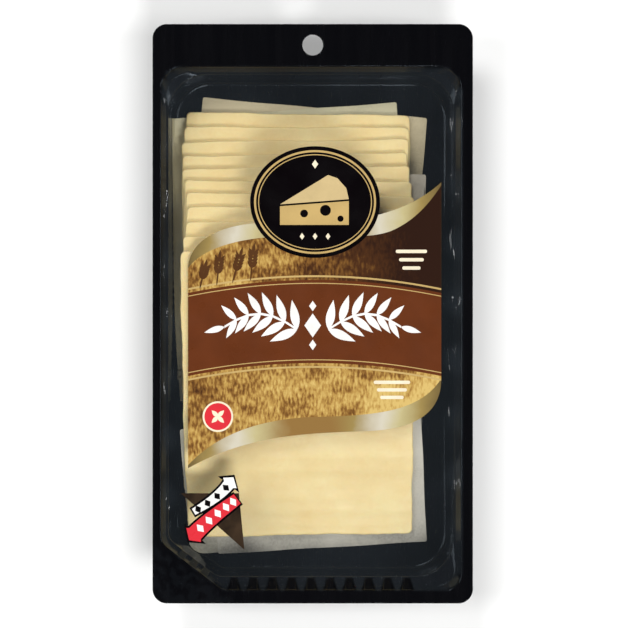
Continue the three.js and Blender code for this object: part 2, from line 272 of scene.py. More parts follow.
def rounded_loop(corners, radii, edge_steps, ribs=None, arc_steps=14):
    """A closed loop with rounded corners, and for each point the number of its edge, or -1 on an arc.

    The points of an edge with ribs stand at the same places in all loops, whatever the edge's length.
    """
    arcs = []
    for i, corner in enumerate(corners):
        inward = (corners[i - 1] - corner).normalized()
        onward = (corners[(i + 1) % len(corners)] - corner).normalized()
        half = inward.angle(onward) / 2
        centre = corner + (inward + onward).normalized() * (radii[i] / math.sin(half))
        reach = radii[i] / math.tan(half)
        arcs.append((centre, corner + inward * reach, corner + onward * reach))
    points = []
    edges = []
    for i, (centre, start, end) in enumerate(arcs):
        first = math.atan2(start.y - centre.y, start.x - centre.x)
        last = math.atan2(end.y - centre.y, end.x - centre.x)
        if last < first:
            last += 2 * math.pi
        for angle in np.linspace(first, last, arc_steps + 1):
            points.append((centre.x + radii[i] * math.cos(angle), centre.y + radii[i] * math.sin(angle)))
            edges.append(-1)
        span = arcs[(i + 1) % len(arcs)][1] - end
        places = np.linspace(0, span.length, edge_steps[i] + 1)[1:-1]
        if ribs and i in ribs:
            reach = ribs[i]["reach"]
            places = (ribs[i]["at"] - end).dot(span.normalized()) + np.linspace(-reach, reach, edge_steps[i])
        for place in places:
            points.append(tuple(end + span.normalized() * place))
            edges.append(i)
    return np.array(points), np.array(edges)


def rounded_rectangle(width, length, radius, steps=12):
    corners = [Vector((x * width / 2, y * length / 2)) for x, y in ((1, -1), (1, 1), (-1, 1), (-1, -1))]
    return rounded_loop(corners, [radius] * 4, [steps] * 4)[0]


def cavity_loop(side, foot, corner_r, foot_r=None, chamfer=None, is_ribbed=False, skin=0):
    """The cavity's outline where it stands in from the mouth by side, foot and chamfer."""
    chamfer = side if chamfer is None else chamfer
    foot_r = corner_r if foot_r is None else foot_r
    left = -PACK_W / 2 + RIM_LEFT
    low = -PACK_L / 2 + RIM_FOOT
    right = PACK_W / 2 - RIM_RIGHT - side
    high = PACK_L / 2 - TAB_L - side
    chamfer_length = math.hypot(CHAMFER_W, CHAMFER_L)
    nx = CHAMFER_L / chamfer_length
    ny = CHAMFER_W / chamfer_length
    chamfer_high = low + CHAMFER_L + (chamfer - side * nx) / ny
    chamfer_right = left + (chamfer - (foot - CHAMFER_L) * ny) / nx
    places = [(right, low + foot), (right, high), (left + side, high)]
    places += [(left + side, chamfer_high), (chamfer_right, low + foot)]
    corners = [Vector(place) for place in places]
    radii = [foot_r, corner_r, corner_r, CHAMFER_CORNER_R, CHAMFER_CORNER_R]
    points, edges = rounded_loop(corners, radii, EDGE_STEPS, RIBS)
    if is_ribbed:
        for edge, ribs in RIBS.items():
            along = (corners[(edge + 1) % len(corners)] - corners[edge]).normalized()
            on_edge = edges == edge
            reach = (points[on_edge] - ribs["at"]) @ along
            middle = (ribs["count"] - 1) / 2
            nearest = np.clip(np.round(reach / ribs["pitch"] + middle), 0, ribs["count"] - 1)
            distance = np.abs(reach - (nearest - middle) * ribs["pitch"])
            rise = ribs["rise"] * smooth((RIB_W / 2 - skin + RIB_FLANK_W - distance) / RIB_FLANK_W)
            points[on_edge] += rise[:, None] * np.array((-along.y, along.x))
    return points


def ring(loop, height):
    return np.column_stack([loop, np.full(len(loop), height)])


def rounding(radius):
    """How far a rounded edge lies inward and down from its two faces, at four places along it."""
    turns = np.radians((0, 30, 60, 90))
    return list(zip(radius * (1 - np.cos(turns)), radius * (1 - np.sin(turns))))


def wall_rings(skin):
    """The cavity's wall from the floor up to the ledge. A skin above 0 gives the sheet's lower face."""
    low_side = MOUTH_SLOPE_SIDE + LEDGE_W + WALL_DRAFT - skin
    low_foot = MOUTH_SLOPE_FOOT + LEDGE_W / 2 + WALL_DRAFT / 2 - skin
    rings = []
    for inset, lift in rounding(FLOOR_FILLET_R + skin)[::-1]:
        fillet = cavity_loop(low_side + inset, low_foot + inset, INNER_CORNER_R - inset)
        rings.append(ring(fillet, GAUGE - skin + lift))
    shelf_side = MOUTH_SLOPE_SIDE + LEDGE_W - skin
    shelf = cavity_loop(shelf_side, MOUTH_SLOPE_FOOT + LEDGE_W / 2 - skin, INNER_CORNER_R)
    rings.append(ring(shelf, LEDGE_Z - LEDGE_DROP - skin))
    ribbed = cavity_loop(
        MOUTH_SLOPE_SIDE - skin,
        MOUTH_SLOPE_FOOT - RIBS[FOOT_EDGE]["rise"] - skin,
        MOUTH_CORNER_R + 1,
        foot_r=FOOT_CORNER_R + 1,
        chamfer=MOUTH_SLOPE_SIDE + LEDGE_W - RIBS[CHAMFER_EDGE]["rise"] - skin,
        is_ribbed=True,
        skin=skin,
    )
    rings.append(ring(ribbed, LEDGE_Z - skin))
    return rings


def mouth_loop(inset):
    return cavity_loop(inset, inset, MOUTH_CORNER_R, foot_r=FOOT_CORNER_R)


def mouth_rings():
    """The rounded edge of the mouth, and a last ring that lies flat on the flange."""
    rings = [ring(mouth_loop(-outset), PACK_H - drop) for outset, drop in rounding(MOUTH_R)]
    return [*rings, ring(mouth_loop(-MOUTH_R - EDGE_R), PACK_H)]


def soften(rings, reach=0.45, most_share=0.45, steps=3):
    """Rounds the bends from ring to ring, by a reach and at most a share of the way to the next."""
    soft = [rings[0]]
    for before, middle, after in zip(rings, rings[1:], rings[2:]):
        ends = []
        for other in (before, after):
            span = other - middle
            length = np.linalg.norm(span, axis=1, keepdims=True) + 1e-9
            ends.append(middle + span * np.minimum(most_share, reach / length))
        for share in np.linspace(0, 1, steps + 1):
            back, on = (1 - share) ** 2, share**2
            soft.append(back * ends[0] + 2 * share * (1 - share) * middle + on * ends[1])
    soft.append(rings[-1])
    return soft


def add_rings(skin, rings):
    """Adds rings one after the other and returns the numbers of the first and the last."""
    loops = [skin.add_loop(points[:, :2], points[:, 2]) for points in rings]
    for last, loop in zip(loops, loops[1:]):
        skin.bridge(loop, last)
    return loops[0], loops[-1]


def edge_rings(make_loop, bottom, top):
    """The cut edge of a sheet, from its upper face over to its lower one, with both edges eased."""
    rings = [ring(make_loop(2 * EDGE_R), top)]
    rings += [ring(make_loop(inset), top - drop) for inset, drop in rounding(EDGE_R)[::-1]]
    lower = [ring(points[:, :2], bottom + top - points[0, 2]) for points in reversed(rings)]
    return rings + lower


def pack_loop(inset):
    return rounded_rectangle(PACK_W - 2 * inset, PACK_L - 2 * inset, PACK_CORNER_R - inset)


def hang_hole_loop(inset):
    """Clockwise, so that the hole's edge faces its middle."""
    return circle(0, HANG_HOLE_Y, HANG_HOLE_R + inset)[::-1]


tray_skin = Skin()
cavity_floor, mouth = add_rings(tray_skin, soften(wall_rings(0) + mouth_rings()))
neck = ring(mouth_loop(-GAUGE), PACK_H - FLANGE_T)
under_flange = ring(mouth_loop(-GAUGE - EDGE_R), PACK_H - FLANGE_T)
under_rings = soften([*wall_rings(GAUGE), neck, under_flange])
under_mouth, under_floor = add_rings(tray_skin, under_rings[::-1])
outer_top, outer_bottom = add_rings(tray_skin, edge_rings(pack_loop, PACK_H - FLANGE_T, PACK_H))
hole_top, hole_bottom = add_rings(tray_skin, edge_rings(hang_hole_loop, PACK_H - FLANGE_T, PACK_H))
tray_skin.fill(cavity_floor)
tray_skin.fill(outer_top, [mouth, hole_top])
tray_skin.fill(outer_bottom, [under_mouth, hole_bottom], is_up=False)
tray_skin.fill(under_floor, is_up=False)

tray_finish, tree, shader = start_finish("black_drawn_plastic", Specular_IOR_Level=0.12)
shader.inputs["Specular Tint"].default_value = (0.75, 0.88, 1, 1)
streaks = noise(tree, 3.2, stretch=(1, 14, 14), detail=4)
paint(tree, shader, streaks, [(0.35, colour(6, 6, 9)), (0.7, colour(10, 10, 13))])
scuffs = combine(tree, "MULTIPLY", noise(tree, 26, detail=5), noise(tree, 1.7, stretch=(1, 5, 5)))
tree.links.new(spread(tree, scuffs, 0.1, 0.18, 0.12, 0.42), shader.inputs["Roughness"])
fine_grain = combine(tree, "MULTIPLY", noise(tree, 1.6), 0.12)
bump(tree, shader, combine(tree, "ADD", fine_grain, noise(tree, 9)), 0.02)
tray = tray_skin.make("tray_shell", tray_finish, sharp_from=50)
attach(tray, "root")
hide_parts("tray")

# The cheese is cut into eleven thin slices, fanned down the pack. Each lies a step further down than the
# one below it and droops over the lower ends of those below. Papers between them keep them from sticking.
SLICE_COUNT = 11
SLICE = {"width": 88.5, "length": 112, "thickness": 1.85, "gap": 0.08, "corner_r": 1.8}
SLICE_EDGE_R = 0.45
SLICE_EDGE_ROWS = (0, 0.03, 0.1, 0.22, 0.45, 1, 1.8)
SLICE_GRID = 1.3
SLICE_PITCH = 5.4
SWAY_MARGIN = 9
PILE_TOP_Y = 78.8
PILE_X = -6.6
PILE_LEAN = 0.15
FRONT_SLICE_SHIFT = -0.75
SLICE_TILT_DEG = 1
TILT_PERIOD = 7.2
TILT_START = 1.2
DROOP_RUN = 9
PAPER = {"width": 82.5, "length": 112, "thickness": 0.12, "gap": 0.1, "corner_r": 0.8}
PAPER_EDGE_ROWS = (0, 0.3, 0.8)
PAPER_GRID = 1.6
# Each sheet's last pair of places gives the span along the pack for the painted shade on its paper: darkest
# at the first place, lightest at the second.
PAPER_SHEETS = [
    {"below": 0, "width": 89, "x": -4.2, "y": 25.7, "turn": -5.3, "shade_span": (38, 84)},
    {"below": 0, "width": 94, "x": -9.7, "y": 24.3, "turn": 4.2, "shade_span": (-70, 10)},
    {"below": 4, "x": 2.4, "y": -0.7, "turn": -0.9, "shade_span": (-40, 60)},
    {"below": 5, "x": 1.6, "y": -5.4, "turn": -0.6, "shade_span": (-40, 60)},
    {"below": 10, "length": 50, "x": -8.8, "y": -67.3, "turn": 3.6, "shade_span": (-118, -64)},
    {"below": 10, "x": 0.5, "y": -36.4, "turn": 3.4, "shade_span": (-118, -64)},
]

random = np.random.default_rng(7)


def turned(x, y, layer):
    """Places that are given from a layer's middle, as places in the pack."""
    angle = math.radians(layer["turn"])
    across = layer["x"] + x * math.cos(angle) - y * math.sin(angle)
    along = layer["y"] + x * math.sin(angle) + y * math.cos(angle)
    return across, along


pile = []
for k in range(SLICE_COUNT):
    for i, sheet in enumerate(PAPER_SHEETS):
        if sheet["below"] == k:
            names = {"name": f"interleaf_paper_{i + 1}", "node": f"paper_sheet_{i + 1}"}
            pile.append({**PAPER, **sheet, **names})
    names = {"name": f"cheese_slice_{k + 1:02}", "node": f"slice_{k + 1:02}"}
    x = PILE_X + PILE_LEAN * k + (FRONT_SLICE_SHIFT if k == SLICE_COUNT - 1 else 0)
    y = PILE_TOP_Y - SLICE_PITCH * k - SLICE["length"] / 2
    turn = SLICE_TILT_DEG * math.sin(2 * math.pi * (k - TILT_START) / TILT_PERIOD)
    pile.append({**SLICE, **names, "x": x, "y": y, "turn": turn})
for layer in pile:
    corner_x = layer["width"] / 2 - layer["corner_r"]
    corner_y = layer["corner_r"] - layer["length"] / 2
    layer["foot"] = min(turned(x, corner_y, layer)[1] for x in (-corner_x, corner_x)) - layer["corner_r"]


def pile_height(number, y):
    """How high the underside of one of the pile's layers is at y."""
    height = np.full(np.shape(y), GAUGE + PAPER["gap"])
    for layer in pile[:number]:
        support = 1 - smooth((layer["foot"] - y) / DROOP_RUN)
        height += (layer["thickness"] + layer["gap"]) * support
    return height


def ripple(x, y):
    """The slight unevenness of the whole pile, the same in all its layers."""
    return 0.09 * np.sin(x / 7.3 + y / 19) + 0.07 * np.sin(y / 9.1 - x / 23) + 0.05 * np.sin(x / 3.9)


def graded(length, edge_rows, step):
    """Places along a length, closer together near both its ends."""
    inner = length / 2 - edge_rows[-1]
    middle = np.linspace(-inner, inner, math.ceil(2 * inner / step) + 1)
    ends = length / 2 - np.array(edge_rows[:-1])
    return np.concatenate([-ends, middle, ends[::-1]])


def rounded_grid(layer, edge_rows, step):
    """A grid over a rectangle with rounded corners, and how far inside the outline each place is."""
    half_w = layer["width"] / 2
    half_l = layer["length"] / 2
    radius = layer["corner_r"]
    across = graded(layer["width"], edge_rows, step)
    along = graded(layer["length"], edge_rows, step)
    x, y = np.meshgrid(across, along)
    a = np.clip((np.abs(x) - half_w) / radius + 1, 0, 1)
    b = np.clip((np.abs(y) - half_l) / radius + 1, 0, 1)
    u = a * np.sqrt(1 - b * b / 2)
    v = b * np.sqrt(1 - a * a / 2)
    x = x + np.sign(x) * radius * (u - a)
    y = y + np.sign(y) * radius * (v - b)
    straight = np.minimum(half_w - np.abs(x), half_l - np.abs(y))
    inside = np.where((a > 0) & (b > 0), radius * (1 - np.hypot(u, v)), straight)
    return x, y, np.maximum(inside, 0)


def add_slab(x, y, low, high):
    """A closed slab between two heights over a grid of places."""
    rows, columns = x.shape
    skin = Skin()
    skin.points = np.concatenate(
        [np.stack([x, y, level], axis=-1).reshape(-1, 3) for level in (low, high)]
    ).tolist()
    numbers = np.arange(rows * columns).reshape(rows, columns)
    squares = [numbers[:-1, :-1], numbers[:-1, 1:], numbers[1:, 1:], numbers[1:, :-1]]
    top = np.stack(squares, axis=-1).reshape(-1, 4) + rows * columns
    bottom = np.stack(squares[::-1], axis=-1).reshape(-1, 4)
    skin.faces = top.tolist() + bottom.tolist()
    edge = [*numbers[0], *numbers[1:, -1], *numbers[-1, -2::-1], *numbers[-2:0:-1, 0]]
    skin.bridge(edge, [number + rows * columns for number in edge])
    return skin


cheese_finish, tree, shader = start_finish("mild_cheese", Subsurface_Weight=0.22, Subsurface_Scale=2.2 * MM)
shader.inputs["Subsurface Radius"].default_value = (1, 0.6, 0.25)
paste = combine(tree, "ADD", noise(tree, 14, detail=4), spread(tree, noise(tree, 1.3, detail=4), -0.1, 0.1))
cheese_stops = [(0.25, colour(235, 208, 145)), (0.5, colour(239, 215, 154)), (0.75, colour(242, 222, 163))]
paint(tree, shader, paste, cheese_stops)
tree.links.new(spread(tree, noise(tree, 6), 0.38, 0.55), shader.inputs["Roughness"])
knife_marks = noise(tree, 2.4, stretch=(9, 1, 9))
pits = spread(tree, noise(tree, 0.7, detail=2), 0, 1, 0.28, 0.36)
bump(tree, shader, combine(tree, "ADD", knife_marks, pits), 0.015)

for number, layer in enumerate(pile):
    if not layer["node"].startswith("slice"):
        continue
    x, y, inside = rounded_grid(layer, SLICE_EDGE_ROWS, SLICE_GRID)
    phases = random.uniform(0, 2 * math.pi, 6)
    side_sway = 0.22 * np.sin(y / 8.5 + phases[0]) + 0.12 * np.sin(y / 3.1 + phases[1])
    side_sway += 0.06 * np.sin(y / 1.1 + 3 * np.sin(y / 6 + phases[4]))
    end_sway = 0.2 * np.sin(x / 9.5 + phases[2]) + 0.1 * np.sin(x / 3.7 + phases[3])
    end_sway += 0.07 * np.sin(x / 1.1 + 3 * np.sin(x / 7 + phases[5]))
    is_margin = inside < SWAY_MARGIN
    x, y = turned(x + side_sway * np.sign(x) * is_margin, y + end_sway * np.sign(y) * is_margin, layer)
    curve = 1 - np.clip(inside / SLICE_EDGE_R, 0, 1)
    drop = SLICE_EDGE_R * (1 - np.sqrt(1 - curve * curve))
    base = pile_height(number, y) + ripple(x, y)
    slab = add_slab(x, y, base + drop, base + layer["thickness"] - drop)
    cheese_slice = slab.make(layer["name"], cheese_finish, sharp_from=70)
    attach(cheese_slice, "root")
    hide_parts(layer["node"])

# The interleaf papers are thin greaseproof sheets, about as large as the slices and laid askew, so that
# corners and margins show. Where one reaches the tray's wall it turns up along it.
PAPER_TINTS = [
    colour(213, 199, 162),
    colour(212, 205, 170),
    colour(186, 178, 160),
    colour(182, 174, 156),
    colour(190, 187, 170),
    colour(204, 200, 186),
]
CURL_CLEARANCE = 2.5
CURL_R = 2.35
CURL_TURN = math.radians(86)

curl_side = MOUTH_SLOPE_SIDE + LEDGE_W + WALL_DRAFT + CURL_CLEARANCE
curl_foot = MOUTH_SLOPE_FOOT + LEDGE_W / 2 + WALL_DRAFT / 2 + CURL_CLEARANCE
curl_line = cavity_loop(curl_side, curl_foot, INNER_CORNER_R - CURL_CLEARANCE)


def is_within(x, y, loop):
    """Whether each place lies inside a closed loop."""
    within = np.zeros(np.shape(x), bool)
    for (x1, y1), (x2, y2) in zip(loop, np.roll(loop, -1, axis=0)):
        if y1 != y2:
            crosses = (y1 > y) != (y2 > y)
            within ^= crosses & (x < x1 + (x2 - x1) * (y - y1) / (y2 - y1))
    return within


def curl_up(x, y):
    """Turns what lies past the curl line up along the wall. Returns the places and their lift."""
    places = np.stack([x, y], axis=-1)[..., None, :]
    nearest = np.argmin(np.sum((places - curl_line) ** 2, axis=-1), axis=-1)
    on_line = curl_line[nearest]
    outward = np.stack([x, y], axis=-1) - on_line
    excess = np.where(is_within(x, y, curl_line), 0, np.linalg.norm(outward, axis=-1))
    angle = np.minimum(excess / CURL_R, CURL_TURN)
    straight = np.maximum(excess - CURL_R * CURL_TURN, 0)
    reach = CURL_R * np.sin(angle) + straight * math.cos(CURL_TURN)
    lift = CURL_R * (1 - np.cos(angle)) + straight * math.sin(CURL_TURN)
    share = np.where(excess > 0, reach / np.maximum(excess, 1e-9), 1)
    x, y = np.moveaxis(on_line + outward * share[..., None], -1, 0)
    return x, y, lift


def axis_share(tree, axis, start, end):
    """A share that goes from 0 to 1 from one place to another along an axis, in millimetres."""
    place = tree.nodes.new("ShaderNodeTexCoord").outputs["Object"]
    parts = add_node(tree, "ShaderNodeSeparateXYZ", {0: place}).node
    return spread(tree, parts.outputs[axis], 0, 1, start * MM, end * MM)


def darker(tint, factor):
    return [factor * value for value in tint[:3]] + [1]


def paper_finish(name, tint, shade_span):
    """Thin paper that lets some of what lies under it through. Its colour is darkened by painted shade
    towards the first of two places along the pack."""
    material, tree, shader = start_finish(name, Roughness=0.55)
    fibres = combine(tree, "ADD", noise(tree, 22, detail=4), spread(tree, noise(tree, 0.8), -0.08, 0.08))
    # Painted shade: the colour darkens towards the first of the two places given for the sheet, where shade
    # falls on it.
    painted_shade = spread(tree, axis_share(tree, "Y", *shade_span), -0.55, 0.1, 0, 1)
    fibres = combine(tree, "ADD", fibres, painted_shade)
    paint(tree, shader, fibres, [(0, darker(tint, 0.3)), (0.35, darker(tint, 0.8)), (0.6, tint)])
    creases = combine(tree, "ADD", noise(tree, 11, stretch=(1, 2.5, 1)), noise(tree, 3))
    bump(tree, shader, creases, 0.22)
    through = add_node(tree, "ShaderNodeBsdfTranslucent", {"Color": tint})
    body = add_node(tree, "ShaderNodeMixShader", {0: 0.08, 1: shader.outputs[0], 2: through})
    clear = add_node(tree, "ShaderNodeBsdfTransparent", {})
    whole = add_node(tree, "ShaderNodeMixShader", {0: 0.05, 1: body, 2: clear})
    tree.links.new(whole, tree.nodes["Material Output"].inputs["Surface"])
    return material


for number, layer in enumerate(pile):
    if layer["node"].startswith("slice"):
        continue
    sheet = int(layer["node"][-1]) - 1
    x, y, inside = rounded_grid(layer, PAPER_EDGE_ROWS, PAPER_GRID)
    phases = random.uniform(0, 2 * math.pi, 2)
    edge_sway = 0.12 * np.sin(x / 6.5 + phases[0]) + 0.1 * np.sin(y / 5.5 + phases[1])
    x, y = turned(x + edge_sway * np.sign(x), y + edge_sway * np.sign(y), layer)
    base = pile_height(number, y) + ripple(x, y)
    x, y, lift = curl_up(x, y)
    slab = add_slab(x, y, base + lift, base + lift + layer["thickness"])
    finish = paper_finish(f"greaseproof_paper_{sheet + 1}", PAPER_TINTS[sheet], layer["shade_span"])
    paper = slab.make(layer["name"], finish)
    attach(paper, "root")
    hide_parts(layer["node"])

# The clear film is welded to the flange all round, punched with the tray, and spans the cavity with a
# little slack. It clings to the ribs along the foot, and outside the cut corner it is left loose to peel.
FILM_Z = 24.15
FILM_T = 0.2
FILM_GRID = 1.5
FINE_GRID = 0.5
CLING_L = 4.5
CLING_SPREAD = 1.5
CLING_FADE = 0.8
SLACK_RUN = 14
FOLDS_W = 8
FOLDS_FADE = 5
FOLDS_LOW_Y = -88
FOLDS_LOW_FADE = 10
FOLDS_HIGH_Y = 94
FOLDS_HIGH_FADE = 14
WELD_FADE = 1.2
LOOSE_START = Vector((-60.7, -89))
LOOSE_END = Vector((-29.9, -110.2))


def triangles_within(outline, hole, inner):
    """Points and triangles over an outline with a hole, and the points' numbers along both loops."""
    places = np.concatenate([outline, hole, inner])
    rims = [list(range(len(outline))), list(range(len(outline), len(outline) + len(hole)))]
    edges = [(rim[i], rim[(i + 1) % len(rim)]) for rim in rims for i in range(len(rim))]
    found = delaunay_2d_cdt([Vector(place) for place in places], edges, [], 0, 1e-5)
    points = np.array([tuple(point) for point in found[0]])
    triangles = np.array(found[2])
    middle_x, middle_y = points[triangles].mean(axis=1).T
    keep = is_within(middle_x, middle_y, outline) & ~is_within(middle_x, middle_y, hole)
    number_of = {old: new for new, olds in enumerate(found[3]) for old in olds}
    return points, triangles[keep], [[number_of[old] for old in rim] for rim in rims]


def grid_places(left, right, low, high, step):
    across, along = np.meshgrid(np.arange(left, right, step), np.arange(low, high, step))
    return np.stack([across.ravel(), along.ravel()], axis=1)


mouth_line = mouth_loop(0)
film_outline = pack_loop(0)
film_hole = circle(0, HANG_HOLE_Y, HANG_HOLE_R)
grid_w = PACK_W / 2 - FILM_GRID
grid_l = PACK_L / 2 - FILM_GRID
grid_x, grid_y = grid_places(-grid_w, grid_w + FILM_GRID / 2, -grid_l, grid_l + FILM_GRID / 2, FILM_GRID).T
is_clear = is_within(grid_x, grid_y, pack_loop(FILM_GRID / 2))
is_clear &= np.hypot(grid_x, grid_y - HANG_HOLE_Y) > HANG_HOLE_R + FILM_GRID / 2
foot_y = -PACK_L / 2 + RIM_FOOT
fine_left = RIM_LEFT + CHAMFER_W - PACK_W / 2
is_clear &= (grid_y > foot_y + CLING_L + FINE_GRID) | (grid_y < foot_y) | (grid_x < fine_left)
fine_right = PACK_W / 2 - RIM_RIGHT
fine_low = foot_y + FINE_GRID / 2
fine_places = grid_places(fine_left + FINE_GRID, fine_right, fine_low, foot_y + CLING_L, FINE_GRID)
film_inner = np.concatenate([np.stack([grid_x, grid_y], axis=1)[is_clear], fine_places])
film_places, film_triangles, film_rims = triangles_within(film_outline, film_hole, film_inner)

film_x, film_y = film_places[:, 0], film_places[:, 1]
over_cavity = is_within(film_x, film_y, mouth_line)
to_mouth = np.sqrt(((film_places[:, None] - mouth_line[::6]) ** 2).sum(axis=-1)).min(axis=1)
slack = over_cavity * smooth(to_mouth / SLACK_RUN)
loose_side = (LOOSE_END - LOOSE_START).orthogonal().normalized()
past_weld = (film_places - np.array(LOOSE_START)) @ np.array(-loose_side)
looseness = smooth(past_weld / WELD_FADE)
film_relief = slack * (0.05 * np.sin(film_x / 6.1 + film_y / 17) + 0.04 * np.sin(film_y / 8.3 - film_x / 21))
film_relief += looseness * 0.06 * (1 + np.sin(film_x / 1.9 + film_y / 2.7) * np.sin(film_y / 2.1))
wall_folds = over_cavity * smooth((FOLDS_W - to_mouth) / FOLDS_FADE)
wall_folds *= smooth((film_y - FOLDS_LOW_Y) / FOLDS_LOW_FADE)
wall_folds *= smooth((FOLDS_HIGH_Y - film_y) / FOLDS_HIGH_FADE)

foot_ribs = RIBS[FOOT_EDGE]
rib_share = (film_x - foot_ribs["at"].x) / foot_ribs["pitch"]
middle_rib = (foot_ribs["count"] - 1) / 2
nearest_rib = np.clip(np.round(rib_share + middle_rib), 0, foot_ribs["count"] - 1) - middle_rib
from_rib = np.abs(rib_share - nearest_rib) * foot_ribs["pitch"]
from_foot = film_y - foot_y
half_cling = RIB_W / 2 + CLING_SPREAD * (1 - from_foot / CLING_L)
clinging = over_cavity * smooth((half_cling - from_rib) / CLING_FADE + 0.5) * (from_foot < CLING_L)

film_skin = Skin()
for level, is_top in ((FILM_Z, False), (FILM_Z + FILM_T, True)):
    start = len(film_skin.points)
    film_skin.points += np.column_stack([film_places, level + film_relief]).tolist()
    corners = film_triangles if is_top else film_triangles[:, ::-1]
    film_skin.faces += (corners + start).tolist()
film_count = len(film_places)
for rim in (film_rims[0], film_rims[1][::-1]):
    film_skin.bridge(rim, [number + film_count for number in rim])


def stored(tree, label):
    """The number that a mesh keeps under a name for each of its points."""
    return add_node(tree, "ShaderNodeAttribute", {}, attribute_name=label).node.outputs["Fac"]


film_finish, tree, shader = start_finish("clear_peel_film")
tree.nodes.remove(shader)
ripples = combine(tree, "ADD", noise(tree, 7, stretch=(1, 3, 1)), noise(tree, 2.2, detail=4))
near_wall = stored(tree, "near_wall")
folds = spread(tree, noise(tree, 2.2, stretch=(0.6, 4, 1), detail=2), 0, 3.5, 0.62, 0.74)
ripples = combine(tree, "ADD", ripples, combine(tree, "MULTIPLY", folds, near_wall))
shine = add_node(tree, "ShaderNodeBsdfAnisotropic", {"Roughness": 0.1}).node
bump(tree, shine, ripples, 0.05)
facing = add_node(tree, "ShaderNodeLayerWeight", {"Blend": 0.5}).node
grazing = combine(tree, "POWER", facing.outputs["Facing"], 5)
mirrored = combine(tree, "MULTIPLY_ADD", grazing, 0.9, 0.035)
blotches = spread(tree, noise(tree, 3.4, detail=5), 0, 0.0015, 0.42, 0.56)
haze = combine(tree, "MULTIPLY", stored(tree, "over_gap"), spread(tree, noise(tree, 30), 0.004, 0.007))
haze = combine(tree, "ADD", haze, combine(tree, "MULTIPLY", stored(tree, "unwelded"), blotches))
haze = combine(tree, "MULTIPLY_ADD", near_wall, 0.003, haze)
clear = add_node(tree, "ShaderNodeBsdfTransparent", {"Color": (0.985, 0.985, 0.985, 1)})
cloud = add_node(tree, "ShaderNodeBsdfDiffuse", {"Color": (0.66, 0.84, 1, 1)})
hazy = add_node(tree, "ShaderNodeMixShader", {0: haze, 1: clear, 2: cloud})
gloss = add_node(tree, "ShaderNodeMixShader", {0: mirrored, 1: hazy, 2: shine.outputs[0]})
tree.links.new(gloss, tree.nodes["Material Output"].inputs["Surface"])
film = film_skin.make("peel_film", film_finish)
over_gap = over_cavity * (1 - clinging)
for label, values in (("over_gap", over_gap), ("unwelded", looseness), ("near_wall", wall_folds)):
    attribute = film.data.attributes.new(label, "FLOAT", "POINT")
    attribute.data.foreach_set("value", np.tile(values.astype(float), 2))
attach(film, "root")
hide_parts("lid_film")

# The label is printed paper stuck on the film: a panel with swept edges in gold ink, grained fields in
# brown and gold on it, and across them a plain brown band with gold lines.
LABEL_Z = 24.42
LABEL_BASE_T = 0.1
INK_T = 0.02
FIELD_Z = LABEL_Z + LABEL_BASE_T
BAND_Z = FIELD_Z + INK_T
ORNAMENT_Z = BAND_Z + INK_T
LABEL_LEFT = -48
LABEL_RIGHT = 49.5
FIELD_MARGIN = 0.03
FIELD_LEFT = LABEL_LEFT + FIELD_MARGIN
FIELD_RIGHT = LABEL_RIGHT - FIELD_MARGIN
BAND_LOW_Y = -24
BAND_HIGH_Y = 8
BAND_BOW = 5
BAND_LINE_GAP = 1.1
BAND_LINE_W = 0.7
FINE_LINE_W = 0.35
GOLD_LIGHT = colour(204, 197, 178)
GOLD_PALE = colour(188, 176, 128)
GOLD_MID = colour(150, 128, 72)
GOLD_AMBER = colour(140, 106, 54)
GOLD_DEEP = colour(100, 82, 46)


def bent(knots, share):
    """The place at a share of a curve from the first to the last of four knots."""
    rest = 1 - share
    return np.dot((rest**3, 3 * rest**2 * share, 3 * rest * share**2, share**3), knots)


def swept(knots, steps=28):
    """A swept edge through the first knot and every third one after it, bent by the two between."""
    shares = np.arange(steps) / steps
    points = [bent(knots[i : i + 4], share) for i in range(0, len(knots) - 1, 3) for share in shares]
    return [*points, knots[-1]]


def add_plate(skin, outline, holes, bottom, top):
    """A flat plate with straight edges. The outline is counter-clockwise, and so are its holes."""
    outer = [skin.add_loop(outline, height) for height in (bottom, top)]
    inner = [[skin.add_loop(hole, height) for height in (bottom, top)] for hole in holes]
    skin.bridge(outer[0], outer[1])
    for low, high in inner:
        skin.bridge(high, low)
    skin.fill(outer[1], [high for _, high in inner])
    skin.fill(outer[0], [low for low, _ in inner], is_up=False)


def add_print(name, outlines, level, material, thickness=INK_T, step=0, holes=(), node="label"):
    """A printed layer of plates, one for each outline, with a list of holes for each where it has any.
    Plates that overlap are each a small step higher than the one before."""
    skin = Skin()
    for number, outline in enumerate(outlines):
        top = level + thickness + number * step
        add_plate(skin, outline, holes[number] if holes else (), level, top)
    piece = skin.make(name, material)
    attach(piece, "root")
    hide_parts(node)


def start_ink(name, **inputs):
    """A material with one Principled shader and the slight unevenness of print."""
    material, tree, shader = start_finish(name, **inputs)
    bump(tree, shader, noise(tree, 0.5), 0.004)
    return material, tree, shader


def ink_finish(name, tint, roughness=0.3):
    """Smooth ink of one colour with a slight mottle."""
    material, tree, shader = start_ink(name, Specular_IOR_Level=0.2)
    mottle = combine(tree, "ADD", noise(tree, 9), spread(tree, noise(tree, 0.35, detail=1), -0.06, 0.06))
    paint(tree, shader, mottle, [(0.3, darker(tint, 0.86)), (0.65, tint)])
    roughness_range = spread(tree, noise(tree, 12), roughness - 0.05, roughness + 0.05)
    tree.links.new(roughness_range, shader.inputs["Roughness"])
    return material


